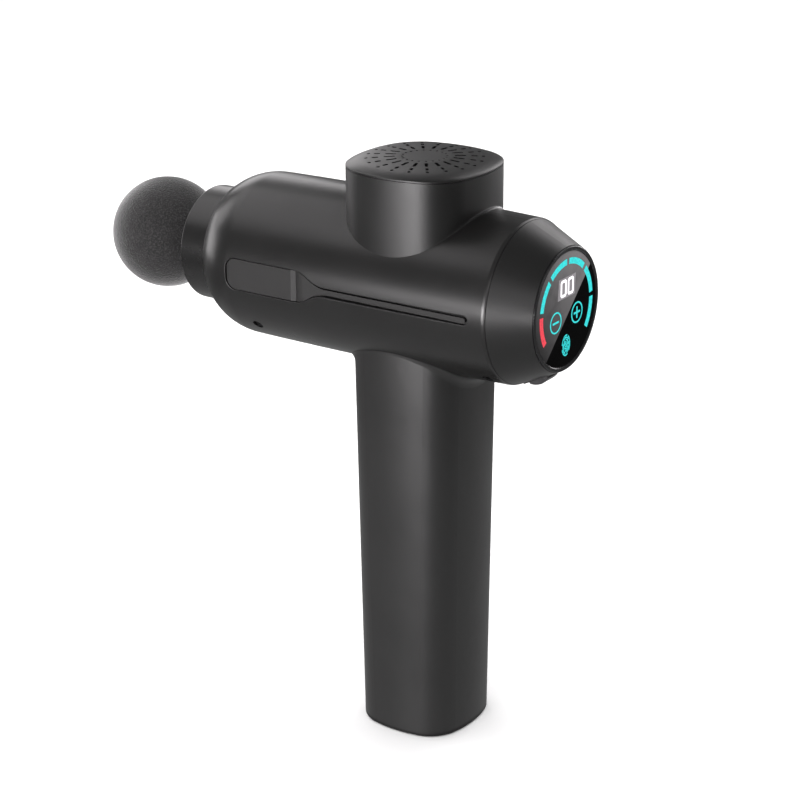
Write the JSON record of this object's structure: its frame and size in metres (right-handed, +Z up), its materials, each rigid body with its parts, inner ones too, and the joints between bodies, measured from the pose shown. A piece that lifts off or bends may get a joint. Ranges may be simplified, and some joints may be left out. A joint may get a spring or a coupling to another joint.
{
  "type": "massage gun",
  "caption": "Cordless percussion massager: a barrel with a foam ball head in front and a round touch display behind, a motor pod with a vented lid above, and a battery handle it stands on.",
  "frame": {"origin": "centre of the handle's flat bottom face, which it stands on", "axes": "+Z up along the handle, +X along the barrel towards the display; the ball head points along -X"},
  "size_m": [0.2244, 0.0696, 0.247],
  "materials": {
    "body_plastic": "fine satin texture, soft sheen",
    "pod_plastic": "satin, slightly glossier than the barrel",
    "handle_plastic": "satin, a little rougher than the pod",
    "filter_felt": "black felt",
    "soft_inlay": "soft-touch matt",
    "black_steel": "black oxide",
    "gloss_bezel": "polished black",
    "display_glass": "printed black behind polished cover glass, so it reads as opaque",
    "circuit_board": "green solder mask",
    "chip_plastic": "moulded epoxy",
    "spring_steel": "gold-washed",
    "lead_insulation": "silicone insulation",
    "rocker_plastic": "semi-gloss black",
    "cast_aluminium": "as cast, bores machined",
    "coated_aluminium": "turned and hard-anodised, ground on its running face",
    "bronze": "sintered, oiled",
    "rubber": "matt",
    "bearing_steel": "ground",
    "core_steel": "laminated or sintered steel, lightly oiled",
    "copper_wire": "enamelled copper",
    "magnet": "nickel-plated",
    "fan_plastic": "moulded",
    "stem_plastic": "hard moulded plastic",
    "foam": null,
    "cell_wrap": null,
    "holder_plastic": "moulded",
    "nickel": "bright strip",
    "jack_plastic": "moulded, plated contact pin"
  },
  "bodies": {
    "housing": {"barrel_shell": "body_plastic", "front_collar": "body_plastic", "rear_cap": "pod_plastic", "motor_cover": "pod_plastic", "vent_cap": "pod_plastic", "dust_screen": "filter_felt", "handle_shell": "handle_plastic", "base_cap": "handle_plastic", "right_inlay": "soft_inlay", "left_inlay": "soft_inlay", "front_case_screws": "black_steel", "rear_case_screws": "black_steel", "base_screws": "black_steel", "display_bezel": "gloss_bezel", "display_glass": "display_glass", "display_board": "circuit_board", "digit_module": "chip_plastic", "touch_springs": "spring_steel", "control_board": "circuit_board", "board_parts": "chip_plastic", "display_leads": "lead_insulation", "rocker_frame": "pod_plastic", "drive_frame": "cast_aluminium", "front_bush": "bronze", "rear_bush": "bronze", "dust_seal": "rubber", "nose_damper": "rubber", "case_dampers": "rubber", "lower_bearing": "bearing_steel", "upper_bearing": "bearing_steel", "motor_plate": "cast_aluminium", "motor_screws": "black_steel", "stator_core": "core_steel", "stator_coils": "copper_wire", "phase_leads": "lead_insulation", "battery_cells": "cell_wrap", "lower_cell_holder": "holder_plastic", "middle_cell_holder": "holder_plastic", "upper_cell_holder": "holder_plastic", "cell_links": "nickel", "battery_board": "circuit_board", "charge_jack": "jack_plastic", "battery_leads": "lead_insulation"},
    "rotor": {"eccentric_wheel": "core_steel", "motor_shaft": "bearing_steel", "rotor_can": "bearing_steel", "rotor_magnets": "magnet", "cooling_fan": "fan_plastic"},
    "plunger": {"plunger": "coated_aluminium", "wrist_pin": "bearing_steel"},
    "con_rod": {"connecting_rod": "cast_aluminium", "rod_bush": "bronze", "crank_bearing": "bearing_steel", "crank_bolt": "black_steel"},
    "head": {"head_stem": "stem_plastic", "stem_ring": "rubber", "foam_ball": "foam"},
    "rocker": {"rocker_button": "rocker_plastic"}
  },
  "joints": [
    {"name": "rotor_spin", "type": "hinge", "parent": "housing", "child": "rotor", "pos_m": [0, 0, 0.22], "axis": [0, 0, 1], "continuous": true},
    {"name": "plunger_slide", "type": "slide", "parent": "housing", "child": "plunger", "axis": [-1, 0, 0], "range_m": [0, 0.012]},
    {"name": "con_rod_swing", "type": "hinge", "parent": "plunger", "child": "con_rod", "pos_m": [-0.034, 0, 0.1945], "axis": [0, 0, 1], "range_deg": [-8.6, 8.6]},
    {"name": "head_pull_off", "type": "slide", "parent": "plunger", "child": "head", "axis": [-1, 0, 0], "range_m": [0, 0.045]},
    {"name": "power_rocker", "type": "hinge", "parent": "housing", "child": "rocker", "pos_m": [0.05446, 0, 0.16685], "axis": [0, 1, 0], "range_deg": [0, 16]}
  ]
}
